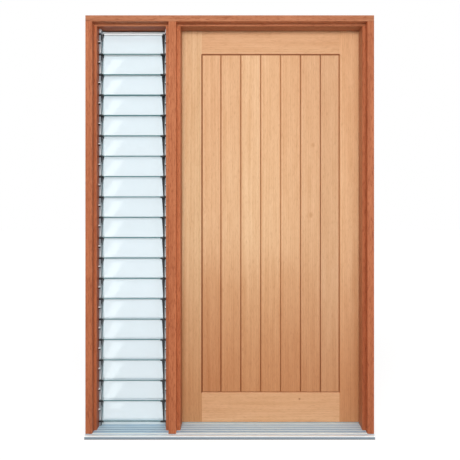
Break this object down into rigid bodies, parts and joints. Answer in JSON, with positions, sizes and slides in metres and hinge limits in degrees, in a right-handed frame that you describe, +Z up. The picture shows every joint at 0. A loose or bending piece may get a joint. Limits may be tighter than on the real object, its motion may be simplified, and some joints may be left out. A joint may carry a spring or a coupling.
{
  "type": "plank door with louvre sidelight",
  "caption": "Vee-jointed timber plank door, hinged in a double-rebated timber frame on a ribbed aluminium sill, with a glass louvre sidelight beside it.",
  "frame": {"origin": "on the sill's underside, midway between the jambs' outer faces and midway through the frame's depth", "axes": "+X along the wall to the hinge jamb as seen from outdoors, -Y outdoors, +Z up"},
  "size_m": [1.435, 0.169, 2.1],
  "materials": {
    "frame_timber": "red-brown hardwood, clear satin coat",
    "door_timber": "pale tan softwood, clear matt coat",
    "sill_aluminium": "mill ribbed",
    "gallery_aluminium": "satin anodised",
    "clip_plastic": "black moulded",
    "louvre_glass": "clear float glass with ground edges",
    "hinge_steel": "satin"
  },
  "bodies": {
    "frame": {"head": "frame_timber", "left_jamb": "frame_timber", "mullion": "frame_timber", "right_jamb": "frame_timber", "sill": "sill_aluminium", "frame_hinge_leaves": "hinge_steel", "left_gallery": "gallery_aluminium", "right_gallery": "gallery_aluminium", "louvre_head_strip": "gallery_aluminium", "louvre_sill_strip": "gallery_aluminium", "left_blade_arms": "gallery_aluminium", "right_blade_arms": "gallery_aluminium", "left_blade_clips": "clip_plastic", "right_blade_clips": "clip_plastic", "louvre_blade_01": "louvre_glass", "louvre_blade_02": "louvre_glass", "louvre_blade_03": "louvre_glass", "louvre_blade_04": "louvre_glass", "louvre_blade_05": "louvre_glass", "louvre_blade_06": "louvre_glass", "louvre_blade_07": "louvre_glass", "louvre_blade_08": "louvre_glass", "louvre_blade_09": "louvre_glass", "louvre_blade_10": "louvre_glass", "louvre_blade_11": "louvre_glass", "louvre_blade_12": "louvre_glass", "louvre_blade_13": "louvre_glass", "louvre_blade_14": "louvre_glass", "louvre_blade_15": "louvre_glass", "louvre_blade_16": "louvre_glass", "louvre_blade_17": "louvre_glass", "louvre_blade_18": "louvre_glass", "louvre_blade_19": "louvre_glass"},
    "door_leaf": {"lock_stile": "door_timber", "hinge_stile": "door_timber", "top_rail": "door_timber", "bottom_rail": "door_timber", "plank_1": "door_timber", "plank_2": "door_timber", "plank_3": "door_timber", "plank_4": "door_timber", "plank_5": "door_timber", "plank_6": "door_timber", "plank_7": "door_timber", "door_hinge_leaves": "hinge_steel"}
  },
  "joints": [
    {"name": "door_swing", "type": "hinge", "parent": "frame", "child": "door_leaf", "pos_m": [0.68, 0.077, 1], "axis": [0, 0, -1], "range_deg": [0, 110]}
  ]
}
